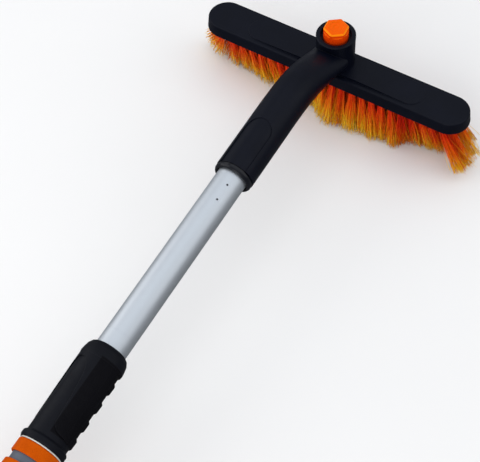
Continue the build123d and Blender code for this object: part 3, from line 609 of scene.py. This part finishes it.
def bristle_row(row):
    """One row of tufts as filaments, in place of the row's plain solid."""
    chance = np.random.default_rng(SEED + row)
    paths, tones = row_paths(row, chance)
    hairs = split_ends(paths[::2], chance)
    lowest = np.array([-np.inf, -np.inf, -PIVOT.z / MM + TIP_CLEARANCE])
    blocks, faces, along, tone, base = [], [], [], [], 0
    layers = ((paths, tones, FILAMENT_RADII, 0.0), (hairs, tones[::2], HAIR_RADII, HAIRS_START))
    for lines, shades, (root, tip), start in layers:
        places = np.maximum(lines, lowest) * MM + np.array(PIVOT)
        vertices, quads, share = strands(places, root * MM, tip * MM)
        blocks.append(vertices)
        faces.extend(tuple(corner + base for corner in face) for face in quads)
        along.append(start + share * (1 - start))
        tone.append(np.repeat(shades, lines.shape[1] * 3))
        base += len(vertices)
    name = f"bristle_row_{row + 1}"
    piece = new_piece(f"tufts_{row + 1}", np.concatenate(blocks), faces, "bristle", "brush_head", name)
    for label, values in (("along", along), ("tone", tone)):
        attribute = piece.data.attributes.new(label, "FLOAT", "POINT")
        attribute.data.foreach_set("value", np.concatenate(values).astype(np.float32))


for row in range(len(ROW_X)):
    bristle_row(row)


# ------------------------------------------------------------------------ foam
def span_of(node):
    """A round node's place on the tube line: start, end and radius in millimetres."""
    low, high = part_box(node)
    radius = (high[1] - low[1]) / 2
    tilt = radius * UP.x
    start = (low[0] - LINE.x + tilt) / ALONG.x
    end = (high[0] - LINE.x - tilt) / ALONG.x
    return start / MM, end / MM, radius / MM


FOAM_ROUNDING = 1.1
FOAM_END_INSET = 0.25
FOAM_BORE_GAP = 0.02
FOAM_AROUND = 112
FOAM_STEP = 1.4
FOAM_CORNER_STEPS = 6
# Lumps in the skin: (cells per metre, height in millimetres), and how deep they sink on the whole.
FOAM_LUMPS = ((60.0, 0.10), (240.0, 0.05))
FOAM_SINK = 0.14


def foam_profile(start, end, inner, radius):
    """A sleeve's outline along the tube as (position, radius), from bore to bore."""
    turns = np.linspace(0, math.pi / 2, FOAM_CORNER_STEPS)
    corner = [(FOAM_ROUNDING * (1 - math.sin(turn)), radius - FOAM_ROUNDING * (1 - math.cos(turn)))
              for turn in turns]
    steps = max(8, int((end - start) / FOAM_STEP))
    flat = np.linspace(start + FOAM_ROUNDING, end - FOAM_ROUNDING, steps)[1:-1]
    return (
        [(start + FOAM_END_INSET, inner)]
        + [(start + inset, out) for inset, out in reversed(corner)]
        + [(position, radius) for position in flat]
        + [(end - inset, out) for inset, out in corner]
        + [(end - FOAM_END_INSET, inner)]
    )


def foam_sleeve(node):
    """A foam sleeve cut from soft tube: rounded, slightly uneven edges and skin."""
    start, end, radius = span_of(node)
    inner = span_of("outer_tube")[2] + FOAM_BORE_GAP
    vertices = []
    profile = foam_profile(start, end, inner, radius)
    for position, out in profile:
        for index in range(FOAM_AROUND):
            turn = 2 * math.pi * index / FOAM_AROUND
            place = on_line(position, out, turn)
            lump = sum(noise.noise(place * scale) * height for scale, height in FOAM_LUMPS)
            soft = (out - inner) / (radius - inner)
            vertices.append(on_line(position, out + (lump - FOAM_SINK) * soft, turn))
    faces = []
    for ring in range(len(profile)):
        here, beyond = ring * FOAM_AROUND, (ring + 1) % len(profile) * FOAM_AROUND
        for index in range(FOAM_AROUND):
            after = (index + 1) % FOAM_AROUND
            faces.append((here + index, here + after, beyond + after, beyond + index))
    new_piece(f"{node}_skin", vertices, faces, "orange_foam", "handle", node)


for sleeve in ("foam_band_front", "foam_grip", "foam_band_rear"):
    foam_sleeve(sleeve)


# ------------------------------------------------------------- floor and light
FLOOR_HALF = 6.0
LIGHTS_AIM = Vector((-0.2, 0.0, 0.08))


def floor():
    """A plain pale floor under the tool."""
    mesh = bpy.data.meshes.new("floor")
    corners = [(x * FLOOR_HALF, y * FLOOR_HALF, 0) for x, y in ((-1, -1), (1, -1), (1, 1), (-1, 1))]
    mesh.from_pydata(corners, [], [(0, 1, 2, 3)])
    piece = bpy.data.objects.new("floor", mesh)
    bpy.context.scene.collection.objects.link(piece)
    kit = Finish("floor", specular=0.2)
    base = kit.ramp(kit.noise(3.0, 3.0), (0.3, (0.90, 0.88, 0.85)), (0.7, (0.92, 0.90, 0.87)))
    mesh.materials.append(kit.finish(base, kit.between(kit.noise(40.0), 0.75, 0.85)))
    piece.visible_glossy = False


def softbox(name, place, size, power, colour=(1, 1, 1)):
    """A rectangular area light that faces the tool."""
    light = bpy.data.lights.new(name, "AREA")
    light.shape = "RECTANGLE"
    light.size, light.size_y = size
    light.energy = power
    light.color = colour
    lamp = bpy.data.objects.new(name, light)
    bpy.context.scene.collection.objects.link(lamp)
    lamp.location = place
    lamp.rotation_euler = (LIGHTS_AIM - Vector(place)).to_track_quat("-Z", "Y").to_euler()


def surroundings():
    """A pale sky that is brightest overhead and dim near the floor."""
    world = bpy.data.worlds.new("studio")
    bpy.context.scene.world = world
    world.use_nodes = True
    nodes = world.node_tree.nodes
    links = world.node_tree.links
    place = nodes.new("ShaderNodeTexCoord")
    split = nodes.new("ShaderNodeSeparateXYZ")
    rise = nodes.new("ShaderNodeMapRange")
    rise.inputs["From Min"].default_value = -1.0
    sky = nodes.new("ShaderNodeValToRGB")
    elements = sky.color_ramp.elements
    elements.new(0.5)
    elements.new(0.75)
    stops = ((0.0, (0.13, 0.133, 0.14)), (0.5, (0.26, 0.27, 0.29)),
             (0.75, (0.50, 0.525, 0.57)), (1.0, (0.56, 0.59, 0.65)))
    for element, (position, colour) in zip(elements, stops):
        element.position = position
        element.color = (*colour, 1)
    links.new(place.outputs["Generated"], split.inputs["Vector"])
    links.new(split.outputs["Z"], rise.inputs["Value"])
    links.new(rise.outputs["Result"], sky.inputs["Fac"])
    links.new(sky.outputs["Color"], nodes["Background"].inputs["Color"])


floor()
surroundings()
softbox("key", (0.30, -1.6, 1.0), (3.0, 1.8), 20.0)
softbox("top", (-0.6, 0.1, 2.0), (2.4, 2.2), 11.0, (0.95, 0.98, 1.0))
softbox("side", (-1.0, 1.6, 1.0), (1.8, 1.6), 7.0)
softbox("front", (1.5, 0.3, 0.8), (1.4, 1.8), 14.0)


# ---------------------------------------------------------------------- camera
CAMERA_FROM_PIVOT = Vector((0.7210, 0.3820, 0.9126))
CAMERA_TURN = Euler([math.radians(angle) for angle in (34.133, 2.393, 121.673)])
CAMERA_LENS = 94.34
SENSOR_WIDTH = 36.0


def camera():
    """The camera: from above the handle's side, along the tube towards the brush head."""
    data = bpy.data.cameras.new("camera")
    data.lens = CAMERA_LENS
    data.sensor_width = SENSOR_WIDTH
    data.clip_start = 0.01
    eye = bpy.data.objects.new("camera", data)
    bpy.context.scene.collection.objects.link(eye)
    eye.location = PIVOT + CAMERA_FROM_PIVOT
    eye.rotation_euler = CAMERA_TURN
    bpy.context.scene.camera = eye


camera()
bpy.context.scene.view_settings.view_transform = "Standard"
